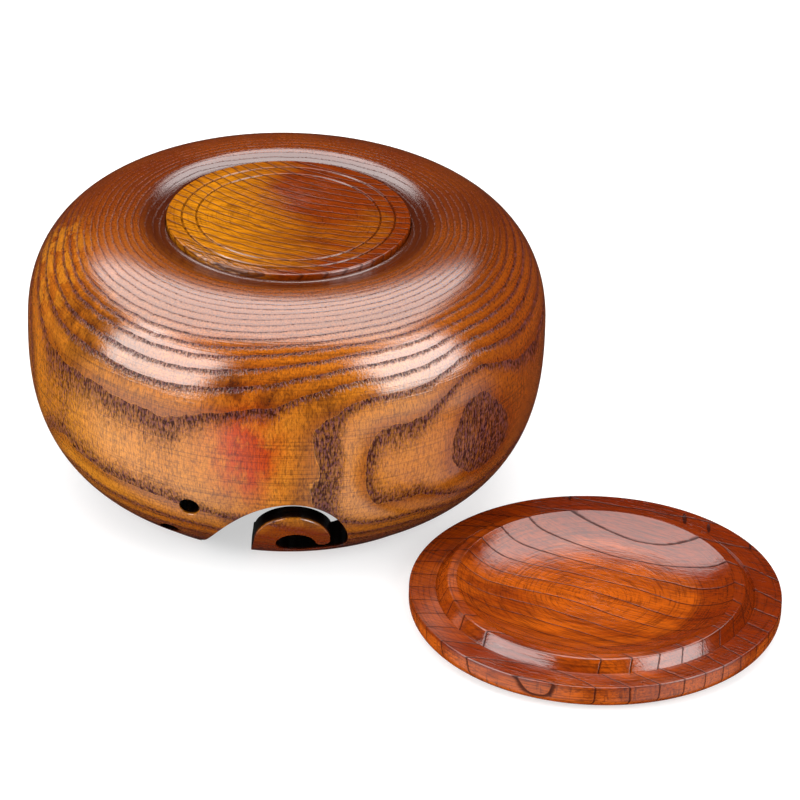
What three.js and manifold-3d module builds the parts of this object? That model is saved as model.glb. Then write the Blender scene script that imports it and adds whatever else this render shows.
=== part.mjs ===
// A squat turned wooden bowl with a loose lid, stored upside down beside each other.
//
// The bowl stands on its mouth with its foot up, and the lid lies on its top face with its
// spigot up. A scroll-shaped slot and two drilled holes pass through the front wall, so that
// a strand of yarn can run out of the closed bowl. Millimetres, +Z up, the front towards -Y.
//
// Pieces: bowl_body (end-grain turning), base_disc (glued into the middle of the foot) and
// lid (side-grain turning, lifts off).

import * as THREE from 'three';
import { mergeVertices } from 'three/addons/utils/BufferGeometryUtils.js';
import Module from 'manifold-3d';

// ---- Bowl: outer shape ---------------------------------------------------------------------
const BOWL_DIAMETER = 155;          // at the belly, the widest point
const BOWL_HEIGHT = 83.4;           // mouth plane to foot face
const BELLY_HEIGHT = 50.2;          // mouth plane to the belly
const SIDE_CORE_RADIUS = 15;        // centre of the superellipse between mouth and belly
const SIDE_FULLNESS = 2.75;         // its exponent: 2 is an ellipse, more is squarer
const SHOULDER_FULLNESS = 2.27;     // exponent between the belly and the flat of the base

// ---- Bowl: mouth, wall and floor -----------------------------------------------------------
const MOUTH_BORE_RADIUS = 46.4;
const RIM_WIDTH = 8;                // flat ring that the bowl rests on here
const RIM_EDGE_ROUND = 0.8;
const MOUTH_LAND_HEIGHT = 5;        // straight part of the bore, which the spigot enters
const WALL_AT_BELLY = 6.5;
const FLOOR_THICKNESS = 8.5;

// ---- Foot ----------------------------------------------------------------------------------
const FOOT_RADIUS = 36.35;          // the glued-in disc
const FOOT_EDGE_ROUND = 0.6;
const GUTTER_WIDTH = 9;             // shallow cove between the disc and the dome of the base
const GUTTER_DEPTH = 1.8;
const DOME_DROP = 0.25;             // the dome's crown lies this far below the foot face
const DISC_STAND = 1.65;            // how far the disc's edge stands out of the body
const DISC_FLANGE_THICKNESS = 4.5;
const DISC_LEDGE_WIDTH = 6;         // ledge that the flange is glued to
const GLUE_GAP = 0.3;
const GROOVE_INSETS = [4.65, 8.95]; // two fine scored lines, in from the disc's edge
const GROOVE_HALF_WIDTH = 0.45;
const GROOVE_DEPTH = 0.4;
const DISC_DISH_DEPTH = 0.8;        // hollow inside the inner line

// ---- Lid -----------------------------------------------------------------------------------
const LID_OVERHANG = 0;             // lid edge beyond the rim's outer edge
const LID_THICKNESS = 8;            // top face to flange face
const LID_CROWN = 0.5;              // the top face is this much lower at its edge
const LID_FLAT_RADIUS = 30;         // flat middle of the top face
const LID_EDGE_ROUND = 4;
const LID_ARRIS = 0.35;
const SPIGOT_CLEARANCE = 0.5;       // radial, spigot in the mouth bore
const SPIGOT_HEIGHT = 2.9;
const SPIGOT_BEVEL = 2.5;           // how far the ring's outer face leans in
const SPIGOT_CREST_WIDTH = 2.9;
const QUIRK_WIDTH = 0.8;            // small groove at the spigot's foot
const QUIRK_DEPTH = 0.35;
const DISH_DEPTH = 5.2;             // below the crest
const DISH_FULLNESS = 4.5;

// ---- Yarn slot, measured on the front from the bowl axis and the mouth plane ----------------
const SCROLL_X = 4;                 // centre of the scroll's round channel
const SCROLL_Z = 12;
const TONGUE_RADIUS = 11.1;
const CHANNEL_WIDTH = 5.1;
const CHANNEL_END_ROUND = 5.2;
const CHANNEL_FLOOR_Z = 4.8;        // underside of the channel at its right end
const TONGUE_TIP_RADIUS = 2.1;
const TONGUE_TIP_Z = 10.3;
const YARN_HOLE_RADIUS = 5.9;
const YARN_HOLE_X = 5;
const YARN_HOLE_Z = 9.3;
const ENTRY_LEFT_X = -23.5;         // where the slot opens through the rim
const ENTRY_RIGHT_X = -8.6;
const ENTRY_CURVE_REACH = 12;       // roundness of the entry's long left flank
const ENTRY_FLANK_X = -20;
const ENTRY_FLANK_Z = 17;

// ---- Drilled holes: distance left of the axis, and height above the mouth plane -------------
const DRILL_DIAMETER = 6;
const DRILL_HOLES = [
  { x: -26.2, z: 23.3 },
  { x: -32.3, z: 8.2 },
];

// ---- Where the lid lies --------------------------------------------------------------------
const LID_BEARING = THREE.MathUtils.degToRad(-42.3);
const LID_TUCK = 6.2;               // the lid's edge lies this far under the bowl's belly

// ---- Fineness ------------------------------------------------------------------------------
const AROUND = 48;
const DRILL_SIDES = 24;
const CUT_MARGIN = 1;

// ---- Worked out from the above -------------------------------------------------------------
const bellyRadius = BOWL_DIAMETER / 2;
const rimRadius = MOUTH_BORE_RADIUS + RIM_WIDTH;
const domeRadius = FOOT_RADIUS + GUTTER_WIDTH;
const domeZ = BOWL_HEIGHT - DOME_DROP;
const floorZ = BOWL_HEIGHT - FLOOR_THICKNESS;
const innerBellyRadius = bellyRadius - WALL_AT_BELLY;
const recessRadius = FOOT_RADIUS + GLUE_GAP;
const recessFloorZ = BOWL_HEIGHT - DISC_FLANGE_THICKNESS - GLUE_GAP;
const plugHoleRadius = FOOT_RADIUS - DISC_LEDGE_WIDTH;
const lidRadius = rimRadius + LID_OVERHANG;
const spigotRadius = MOUTH_BORE_RADIUS - SPIGOT_CLEARANCE;
const grooveRadii = GROOVE_INSETS.map((inset) => FOOT_RADIUS - inset);

const wasm = await Module();
wasm.setup();

// ---- Helpers -------------------------------------------------------------------------------

// Points of a superellipse quarter about (coreRadius, coreZ): from angle a0 to a1, where 0 is
// the point straight out at halfWidth and a quarter turn is the point at halfHeight.
function superellipse(coreRadius, coreZ, halfWidth, halfHeight, fullness, a0, a1, steps) {
  return Array.from({ length: steps + 1 }, (_, i) => {
    const angle = a0 + ((a1 - a0) * i) / steps;
    const across = Math.sign(Math.cos(angle)) * Math.abs(Math.cos(angle)) ** (2 / fullness);
    const up = Math.sign(Math.sin(angle)) * Math.abs(Math.sin(angle)) ** (2 / fullness);
    return [coreRadius + halfWidth * across, coreZ + halfHeight * up];
  });
}

// The side below the belly: the superellipse through (lowRadius, lowZ) whose widest point is
// (wideRadius, BELLY_HEIGHT). Runs upwards.
function sideBelowBelly(lowRadius, lowZ, wideRadius, steps) {
  const halfWidth = wideRadius - SIDE_CORE_RADIUS;
  const inward = ((lowRadius - SIDE_CORE_RADIUS) / halfWidth) ** SIDE_FULLNESS;
  const halfHeight = (BELLY_HEIGHT - lowZ) / (1 - inward) ** (1 / SIDE_FULLNESS);
  const start = -Math.acos(inward ** 0.5);
  return superellipse(
    SIDE_CORE_RADIUS, BELLY_HEIGHT, halfWidth, halfHeight, SIDE_FULLNESS, start, 0, steps,
  );
}

function sideAboveBelly(wideRadius, topZ, steps) {
  return superellipse(
    domeRadius, BELLY_HEIGHT, wideRadius - domeRadius, topZ - BELLY_HEIGHT,
    SHOULDER_FULLNESS, 0, Math.PI / 2, steps,
  );
}

function quarterRound(centreRadius, centreZ, radius, a0, a1, steps) {
  return superellipse(centreRadius, centreZ, radius, radius, 2, a0, a1, steps);
}

// One indexed closed surface: shared vertices merged and collapsed triangles dropped.
function closedSurface(geometry) {
  const bare = geometry.clone();
  bare.deleteAttribute('normal');
  bare.deleteAttribute('uv');
  const merged = mergeVertices(bare, 1e-4);
  const source = merged.index.array;
  const kept = [];
  for (let i = 0; i < source.length; i += 3) {
    const [a, b, c] = source.slice(i, i + 3);
    if (a !== b && b !== c && c !== a) {
      kept.push(a, b, c);
    }
  }
  merged.setIndex(kept);
  return merged;
}

// A solid of revolution about +Z. The profile runs anticlockwise seen with the radius to the
// right and Z up, and starts and ends on the axis or closes on itself.
function turned(profile, sides = AROUND) {
  const points = profile.map(([radius, z]) => new THREE.Vector2(radius, z));
  const geometry = new THREE.LatheGeometry(points, sides);
  geometry.rotateX(Math.PI / 2);
  return closedSurface(geometry);
}

function toSolid(geometry) {
  return new wasm.Manifold(new wasm.Mesh({
    numProp: 3,
    vertProperties: new Float32Array(geometry.attributes.position.array),
    triVerts: new Uint32Array(geometry.index.array),
  }));
}

function toGeometry(solid) {
  const mesh = solid.getMesh();
  const geometry = new THREE.BufferGeometry();
  geometry.setAttribute('position', new THREE.BufferAttribute(mesh.vertProperties, 3));
  geometry.setIndex(new THREE.BufferAttribute(mesh.triVerts, 1));
  geometry.computeVertexNormals();
  return geometry;
}

function piece(name, geometry, material) {
  const mesh = new THREE.Mesh(geometry, material);
  mesh.name = name;
  return mesh;
}

// ---- Materials -----------------------------------------------------------------------------
const bodyWood = new THREE.MeshStandardMaterial({ color: 0x9a5220, roughness: 0.3, metalness: 0 });
const discWood = new THREE.MeshStandardMaterial({ color: 0xb8701c, roughness: 0.32, metalness: 0 });
const lidWood = new THREE.MeshStandardMaterial({ color: 0xa0481a, roughness: 0.3, metalness: 0 });

// ---- Yarn slot -----------------------------------------------------------------------------

// The slot's outline seen from the front, x to the right and the shape's y up: in through the
// rim on the left, over the tongue, down its right side and back left into the yarn hole.
function slotOutline() {
  const channelRadius = TONGUE_RADIUS + CHANNEL_WIDTH;
  const belowRim = -CUT_MARGIN;
  const tipX = SCROLL_X + TONGUE_RADIUS - TONGUE_TIP_RADIUS;
  const endX = SCROLL_X + channelRadius - CHANNEL_END_ROUND;
  const endZ = CHANNEL_FLOOR_Z + CHANNEL_END_ROUND;
  const holeTouch = Math.asin((TONGUE_TIP_Z - YARN_HOLE_Z) / YARN_HOLE_RADIUS);
  const outline = new THREE.Shape();
  outline.moveTo(ENTRY_RIGHT_X, belowRim);
  outline.lineTo(SCROLL_X - TONGUE_RADIUS, SCROLL_Z);
  outline.absarc(SCROLL_X, SCROLL_Z, TONGUE_RADIUS, Math.PI, 0, true);
  outline.absarc(tipX, TONGUE_TIP_Z, TONGUE_TIP_RADIUS, 0, -Math.PI, true);
  outline.absarc(YARN_HOLE_X, YARN_HOLE_Z, YARN_HOLE_RADIUS, holeTouch, 1.5 * Math.PI, false);
  outline.lineTo(endX, CHANNEL_FLOOR_Z);
  outline.absarc(endX, endZ, CHANNEL_END_ROUND, -Math.PI / 2, 0, false);
  outline.absarc(SCROLL_X, SCROLL_Z, channelRadius, 0, Math.PI / 2, false);
  outline.bezierCurveTo(
    SCROLL_X - ENTRY_CURVE_REACH, SCROLL_Z + channelRadius,
    ENTRY_FLANK_X, ENTRY_FLANK_Z,
    ENTRY_LEFT_X, belowRim,
  );
  outline.closePath();
  return outline;
}

// The slot is sawn straight in from the front and ends inside the mouth.
function slotCutter() {
  const innerY = Math.sqrt(MOUTH_BORE_RADIUS ** 2 - ENTRY_LEFT_X ** 2) - 2 * CUT_MARGIN;
  const outerY = bellyRadius + CUT_MARGIN;
  const geometry = new THREE.ExtrudeGeometry(slotOutline(), {
    depth: outerY - innerY,
    curveSegments: 9,
    bevelEnabled: false,
  });
  geometry.rotateX(Math.PI / 2);
  geometry.translate(0, -innerY, 0);
  return toSolid(closedSurface(geometry));
}

// A drilled hole, straight in from the front, which ends in the hollow of the bowl.
function drillCutter({ x, z }) {
  const innerY = Math.max(MOUTH_BORE_RADIUS + x, bellyRadius / 3);
  const outerY = bellyRadius + CUT_MARGIN;
  const length = outerY - innerY;
  const geometry = new THREE.CylinderGeometry(
    DRILL_DIAMETER / 2, DRILL_DIAMETER / 2, length, DRILL_SIDES,
  );
  geometry.translate(x, -innerY - length / 2, z);
  return toSolid(closedSurface(geometry));
}

// ---- Pieces --------------------------------------------------------------------------------

function bowlBody() {
  const gutterZ = BOWL_HEIGHT - GUTTER_DEPTH;
  const lipZ = BOWL_HEIGHT - DISC_STAND;
  const gutterRadius = recessRadius + GUTTER_WIDTH / 6;
  const outerSide = sideBelowBelly(rimRadius, RIM_EDGE_ROUND, bellyRadius, 11);
  const shoulder = sideAboveBelly(bellyRadius, domeZ, 11);
  const innerShoulder = sideAboveBelly(innerBellyRadius, floorZ, 7);
  const innerSide = sideBelowBelly(
    MOUTH_BORE_RADIUS, MOUTH_LAND_HEIGHT, innerBellyRadius, 8,
  );
  const profile = [
    [MOUTH_BORE_RADIUS, 0],
    [rimRadius - RIM_EDGE_ROUND, 0],
    ...outerSide,
    ...shoulder.slice(1),
    [domeRadius - GUTTER_WIDTH / 4, domeZ - GUTTER_DEPTH / 4],
    [gutterRadius + GUTTER_WIDTH / 8, gutterZ + GUTTER_DEPTH / 8],
    [gutterRadius, gutterZ],
    [recessRadius, lipZ],
    [recessRadius, recessFloorZ],
    [plugHoleRadius, recessFloorZ],
    [plugHoleRadius, floorZ],
    ...innerShoulder.reverse(),
    ...innerSide.reverse().slice(1),
    [MOUTH_BORE_RADIUS, 0],
  ];
  let solid = toSolid(turned(profile)).subtract(slotCutter());
  for (const hole of DRILL_HOLES) {
    solid = solid.subtract(drillCutter(hole));
  }
  return piece('bowl_body', toGeometry(solid), bodyWood);
}

// A stepped plug: the flange sits on the body's ledge and the boss fills the hole below it.
function baseDisc() {
  const scored = grooveRadii.flatMap((radius) => [
    [radius - GROOVE_HALF_WIDTH, BOWL_HEIGHT],
    [radius, BOWL_HEIGHT - GROOVE_DEPTH],
    [radius + GROOVE_HALF_WIDTH, BOWL_HEIGHT],
  ].reverse());
  const dishEdge = Math.min(...grooveRadii) - GROOVE_HALF_WIDTH;
  const bossRadius = plugHoleRadius - GLUE_GAP;
  const profile = [
    [0, floorZ],
    [bossRadius, floorZ],
    [bossRadius, BOWL_HEIGHT - DISC_FLANGE_THICKNESS],
    [FOOT_RADIUS, BOWL_HEIGHT - DISC_FLANGE_THICKNESS],
    ...quarterRound(
      FOOT_RADIUS - FOOT_EDGE_ROUND, BOWL_HEIGHT - FOOT_EDGE_ROUND, FOOT_EDGE_ROUND,
      0, Math.PI / 2, 3,
    ),
    ...scored,
    [dishEdge * 0.75, BOWL_HEIGHT - DISC_DISH_DEPTH * 0.55],
    [dishEdge * 0.4, BOWL_HEIGHT - DISC_DISH_DEPTH * 0.9],
    [0, BOWL_HEIGHT - DISC_DISH_DEPTH],
  ];
  return piece('base_disc', turned(profile), discWood);
}

// The lid lies on its top face, so its flange and spigot point up.
function lid() {
  const crestZ = LID_THICKNESS + SPIGOT_HEIGHT;
  const crestOuter = spigotRadius - SPIGOT_BEVEL;
  const crestInner = crestOuter - SPIGOT_CREST_WIDTH;
  const dishSteps = 9;
  const dish = Array.from({ length: dishSteps + 1 }, (_, i) => {
    const share = Math.cos((Math.PI / 2) * (i / dishSteps));
    return [crestInner * share, crestZ - DISH_DEPTH * (1 - share ** DISH_FULLNESS)];
  });
  dish[dishSteps][0] = 0;
  const profile = [
    [0, 0],
    [LID_FLAT_RADIUS, 0],
    [(LID_FLAT_RADIUS + lidRadius - LID_EDGE_ROUND) / 2, LID_CROWN / 4],
    ...quarterRound(
      lidRadius - LID_EDGE_ROUND, LID_CROWN + LID_EDGE_ROUND, LID_EDGE_ROUND,
      -Math.PI / 2, 0, 6,
    ),
    [lidRadius, LID_THICKNESS - LID_ARRIS],
    [lidRadius - LID_ARRIS, LID_THICKNESS],
    [spigotRadius + QUIRK_WIDTH, LID_THICKNESS],
    [spigotRadius + QUIRK_WIDTH / 2, LID_THICKNESS - QUIRK_DEPTH],
    [spigotRadius, LID_THICKNESS],
    [crestOuter + SPIGOT_BEVEL / 5, crestZ - SPIGOT_HEIGHT / 4],
    [crestOuter - SPIGOT_CREST_WIDTH / 5, crestZ],
    ...dish,
  ];
  return piece('lid', turned(profile), lidWood);
}

// ---- Assembly: the origin is the middle of the two pieces' footprint, on the table ----------
const bowl = new THREE.Group();
bowl.add(bowlBody(), baseDisc());

const looseLid = new THREE.Group();
looseLid.add(lid());

const lidReach = bellyRadius + lidRadius - LID_TUCK;
const lidX = lidReach * Math.cos(LID_BEARING);
const lidY = lidReach * Math.sin(LID_BEARING);
const middleX = (Math.min(-bellyRadius, lidX - lidRadius) + Math.max(bellyRadius, lidX + lidRadius)) / 2;
const middleY = (Math.min(-bellyRadius, lidY - lidRadius) + Math.max(bellyRadius, lidY + lidRadius)) / 2;
bowl.position.set(-middleX, -middleY, 0);
looseLid.position.set(lidX - middleX, lidY - middleY, 0);

const assembly = new THREE.Group();
assembly.add(bowl, looseLid);

export default assembly;
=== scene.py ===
"""A squat turned wooden bowl with a scroll-shaped yarn slot, stored upside down beside its lid.

Laid out as an add-on: property groups hold the sizes and finishes, one operator makes each
piece and one makes the stage. All lengths are in metres, and the front is towards -Y.
"""

import math

import bmesh
import bpy
from bpy.props import FloatProperty, FloatVectorProperty, IntProperty, PointerProperty
from mathutils import Matrix, Vector


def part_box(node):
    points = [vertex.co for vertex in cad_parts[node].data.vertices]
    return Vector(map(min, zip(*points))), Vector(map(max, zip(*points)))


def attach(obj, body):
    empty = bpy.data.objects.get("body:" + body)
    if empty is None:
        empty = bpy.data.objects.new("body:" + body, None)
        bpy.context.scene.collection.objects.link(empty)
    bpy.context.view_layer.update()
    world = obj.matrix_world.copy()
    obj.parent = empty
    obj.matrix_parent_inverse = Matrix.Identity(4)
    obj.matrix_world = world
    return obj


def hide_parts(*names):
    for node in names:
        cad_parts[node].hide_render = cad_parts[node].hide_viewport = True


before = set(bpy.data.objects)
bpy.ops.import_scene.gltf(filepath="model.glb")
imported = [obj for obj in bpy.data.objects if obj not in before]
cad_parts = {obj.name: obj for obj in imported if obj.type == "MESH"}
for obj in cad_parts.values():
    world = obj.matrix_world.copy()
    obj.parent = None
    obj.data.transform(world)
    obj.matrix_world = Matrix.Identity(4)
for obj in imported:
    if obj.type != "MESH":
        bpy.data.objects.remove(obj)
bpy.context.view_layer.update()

bl_info = {
    "name": "Turned Yarn Bowl",
    "version": (1, 0, 0),
    "blender": (4, 5, 0),
    "location": "View3D > Sidebar > Turned Bowl",
    "description": "Makes a lidded wooden bowl with a scroll-shaped yarn slot",
    "category": "Add Mesh",
}

MM = 0.001
MERGE_DISTANCE = 1e-6
CUTTER_SPACING = 0.6 * MM       # between the points of a cutter's outline
SLOT_CUTTER_END = -34 * MM      # where the cutters stop inside the hollow, front to back
DRILL_END = -20 * MM


def centre_of(node):
    """The middle of a CAD node's footprint, on the table."""
    low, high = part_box(node)
    return Vector(((low.x + high.x) / 2, (low.y + high.y) / 2, 0))


# ---- Properties ----------------------------------------------------------------------------

def length(name, description, millimetres):
    return FloatProperty(
        name=name,
        description=description,
        default=millimetres * MM,
        precision=5,
        unit="LENGTH",
        subtype="DISTANCE",
    )


def plain(name, description, default, low=0.0, high=10.0):
    return FloatProperty(name=name, description=description, default=default, min=low, max=high)


def tint(name, description, hexadecimal):
    """A colour property from a web colour, held as the linear colour that shaders take."""
    channels = [((hexadecimal >> shift) & 255) / 255 for shift in (16, 8, 0)]
    linear = [c / 12.92 if c <= 0.04045 else ((c + 0.055) / 1.055) ** 2.4 for c in channels]
    return FloatVectorProperty(
        name=name,
        description=description,
        default=linear,
        subtype="COLOR",
        min=0.0,
        max=1.0,
    )


class BowlSizes(bpy.types.PropertyGroup):
    """Sizes of the bowl's turned body."""

    belly_radius: length("Belly radius", "Widest radius of the bowl", 77.5)
    height: length("Height", "Mouth plane to foot face", 83.4)
    belly_height: length("Belly height", "Mouth plane to the belly", 50.2)
    side_core: length("Side core radius", "Centre of the side's superellipse", 15)
    side_fullness: plain("Side fullness", "Exponent of the side below the belly", 2.75)
    shoulder_fullness: plain("Shoulder fullness", "Exponent of the side above the belly", 2.27)
    bore_radius: length("Bore radius", "Radius of the mouth", 46.4)
    rim_width: length("Rim width", "Width of the flat ring round the mouth", 8)
    rim_round: length("Rim round", "Rounding of the rim's outer edge", 0.8)
    bore_land: length("Bore land", "Straight height of the mouth bore", 5)
    belly_wall: length("Wall at the belly", "Thickness of the wall at the belly", 6.5)
    floor_thickness: length("Floor thickness", "Thickness behind the foot", 8.5)
    foot_radius: length("Foot radius", "Radius of the disc let into the foot", 36.35)
    gutter_width: length("Gutter width", "Width of the cove round the disc", 9)
    gutter_depth: length("Gutter depth", "Depth of the cove round the disc", 1.8)
    dome_drop: length("Dome drop", "How far the dome lies below the foot face", 0.25)
    disc_stand: length("Disc stand", "How far the disc's edge stands out", 1.65)
    disc_flange: length("Disc flange", "Thickness of the disc's flange", 4.5)
    disc_ledge: length("Disc ledge", "Width of the ledge the disc is glued to", 6)
    glue_gap: length("Glue gap", "Gap round the disc", 0.3)
    arris: length("Arris", "Rounding of the cut and turned edges", 0.3)
    turns: IntProperty(name="Turns", description="Steps round the bowl", default=192, min=24)


class SlotSizes(bpy.types.PropertyGroup):
    """Sizes of the yarn slot and the drilled holes, from the bowl's axis and mouth plane."""

    scroll_x: length("Scroll across", "Centre of the scroll's round channel", 4)
    scroll_z: length("Scroll height", "Height of that centre", 12)
    tongue_radius: length("Tongue radius", "Radius of the tongue", 11.1)
    channel_width: length("Channel width", "Width of the channel over the tongue", 5.1)
    channel_end_round: length("Channel end round", "Corner of the channel's end", 5.2)
    channel_floor: length("Channel floor", "Underside of the channel's end", 4.8)
    tip_radius: length("Tip radius", "Radius of the tongue's tip", 2.1)
    tip_z: length("Tip height", "Height of the tip's centre", 10.3)
    hole_radius: length("Yarn hole radius", "Radius of the hole in the scroll", 5.9)
    hole_x: length("Yarn hole across", "Centre of the yarn hole", 5)
    hole_z: length("Yarn hole height", "Height of that centre", 9.3)
    entry_left: length("Entry left", "Left end of the opening in the rim", -23.5)
    entry_right: length("Entry right", "Right end of the opening in the rim", -8.6)
    entry_reach: length("Entry reach", "Roundness of the entry's left flank", 12)
    flank_x: length("Flank across", "Bend of the entry's left flank", -20)
    flank_z: length("Flank height", "Height of that bend", 17)
    drill_radius: length("Drill radius", "Radius of the drilled holes", 3)
    upper_drill_x: length("Upper hole across", "Place of the upper hole", -26.2)
    upper_drill_z: length("Upper hole height", "Height of the upper hole", 23.3)
    lower_drill_x: length("Lower hole across", "Place of the lower hole", -32.3)
    lower_drill_z: length("Lower hole height", "Height of the lower hole", 8.2)
    edge_round: length("Edge round", "Sanded rounding of the slot's edges", 0.45)


class DiscSizes(bpy.types.PropertyGroup):
    """Sizes of the disc let into the foot."""

    edge_round: length("Edge round", "Rounding of the disc's edge", 0.6)
    outer_groove: length("Outer groove", "Outer scored line, in from the edge", 4.65)
    inner_groove: length("Inner groove", "Inner scored line, in from the edge", 8.95)
    groove_half_width: length("Groove half width", "Half the width of a line", 0.45)
    groove_depth: length("Groove depth", "Depth of a scored line", 0.4)
    dish_depth: length("Dish depth", "Hollow inside the inner line", 0.8)
    turns: IntProperty(name="Turns", description="Steps round the disc", default=144, min=24)


class LidSizes(bpy.types.PropertyGroup):
    """Sizes of the lid, which lies with its spigot up."""

    thickness: length("Thickness", "Top face to flange face", 8)
    crown: length("Crown", "How much lower the top face is at its edge", 0.5)
    flat_radius: length("Flat radius", "Flat middle of the top face", 30)
    edge_round: length("Edge round", "Rounding of the top face's edge", 4)
    arris: length("Arris", "Rounding of the flange's arris", 0.35)
    spigot_clearance: length("Spigot clearance", "Spigot in the mouth bore", 0.5)
    spigot_height: length("Spigot height", "Height of the spigot ring", 2.9)
    spigot_bevel: length("Spigot bevel", "How far the ring's outer face leans in", 2.5)
    crest_width: length("Crest width", "Width of the ring's crest", 2.9)
    quirk_width: length("Quirk width", "Groove at the spigot's foot", 0.8)
    quirk_depth: length("Quirk depth", "Depth of that groove", 0.35)
    dish_depth: length("Dish depth", "Dish below the crest", 5.2)
    dish_fullness: plain("Dish fullness", "Exponent of the dish", 4.5)
    turns: IntProperty(name="Turns", description="Steps round the lid", default=192, min=24)


class WoodFinish(bpy.types.PropertyGroup):
    """Colours and lacquer of the woods."""

    gold: tint("Gold", "Palest heartwood of the body", 0xD2841F)
    amber: tint("Amber", "Usual wood of the body", 0xAA540C)
    russet: tint("Russet", "Red-brown wood towards the rim and the flanks", 0x6C2401)
    # Umber is also the painted shade on the dome's front, in its gutter and in the disc's scored
    # lines.
    umber: tint("Umber", "Dark stained wood of the dome and the slot", 0x3A1002)
    pore: tint("Pore", "Dark open pores of a growth line", 0x2A0D08)
    # The light specks of this colour in the dark bands are partly painted glints of the lacquer in
    # the open pores.
    bloom_and_glint: tint("Bloom", "Purplish bloom in the open pores", 0x5C3436)
    flame: tint("Flame", "Red stain over the slot", 0xB83E00)
    inside: tint("Inside", "Wood inside the bowl and in the slot", 0x0E0504)
    disc_gold: tint("Disc gold", "Pale side of the disc", 0xBC740A)
    disc_red: tint("Disc red", "Red side of the disc", 0x742A00)
    # Nearly black: painted shade for the hollow, the slot's walls and the drilled holes.
    lid_gold: tint("Lid gold", "Pale streaks of the lid", 0xB2500A)
    lid_red: tint("Lid red", "Red-brown wood of the lid", 0x6A1B00)
    coat: plain("Coat", "Weight of the lacquer", 1.0, 0.0, 1.0)
    coat_roughness: plain("Coat roughness", "Roughness of the lacquer", 0.11, 0.0, 1.0)
    wood_roughness: plain("Wood roughness", "Roughness under the lacquer", 0.45, 0.0, 1.0)


class StageSettings(bpy.types.PropertyGroup):
    """Camera, lights and floor."""

    focal_length: plain("Focal length", "Lens in millimetres", 301.3, 20.0, 600.0)
    camera_pitch: FloatProperty(
        name="Camera pitch", description="How far the camera looks down",
        default=math.radians(29.45), subtype="ANGLE",
    )
    camera_roll: FloatProperty(
        name="Camera roll", description="Turn of the camera about its view",
        default=math.radians(1.518), subtype="ANGLE",
    )
    camera_place: FloatVectorProperty(
        name="Camera place", description="Where the camera stands", subtype="TRANSLATION",
        unit="LENGTH", default=(-0.000392, -1.727276, 1.014529),
    )
    floor_side: length("Floor side", "Side of the floor", 9000)


# ---- Curves of a profile -------------------------------------------------------------------

def superellipse(core, half, fullness, start, end, steps):
    """Points from angle start to end about core, on a superellipse of these half sizes."""
    points = []
    for i in range(steps + 1):
        angle = start + (end - start) * i / steps
        across = math.copysign(abs(math.cos(angle)) ** (2 / fullness), math.cos(angle))
        up = math.copysign(abs(math.sin(angle)) ** (2 / fullness), math.sin(angle))
        points.append((core[0] + half[0] * across, core[1] + half[1] * up))
    return points


def arc(centre, radius, start, end, steps):
    return superellipse(centre, (radius, radius), 2, start, end, steps)


def ease(start, end, steps):
    """A smooth S-curve between two profile points, level at both ends."""
    points = []
    for i in range(steps + 1):
        share = i / steps
        rise = (1 - math.cos(math.pi * share)) / 2
        points.append((
            start[0] + (end[0] - start[0]) * share,
            start[1] + (end[1] - start[1]) * rise,
        ))
    return points


def rounded_corner(before, corner, after, radius, steps=4):
    """The points that round a corner of a profile."""
    corner = Vector(corner)
    ways = [(Vector(end) - corner).normalized() for end in (before, after)]
    half_angle = ways[0].angle(ways[1]) / 2
    reach = radius / math.tan(half_angle)
    middle = corner + (ways[0] + ways[1]).normalized() * (radius / math.sin(half_angle))
    first = corner + ways[0] * reach - middle
    last = corner + ways[1] * reach - middle
    turn = first.angle_signed(last)
    return [tuple(middle + Matrix.Rotation(-turn * i / steps, 2) @ first) for i in range(steps + 1)]


def groove(radius, top, half_width, depth, steps=8):
    """A round-bottomed scored line, from its inner lip to its outer lip."""
    points = []
    for i in range(steps + 1):
        share = 2 * i / steps - 1
        dip = depth * (1 + math.cos(math.pi * share)) / 2
        points.append((radius + half_width * share, top - dip))
    return points


# ---- The bowl's shape ----------------------------------------------------------------------

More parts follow.
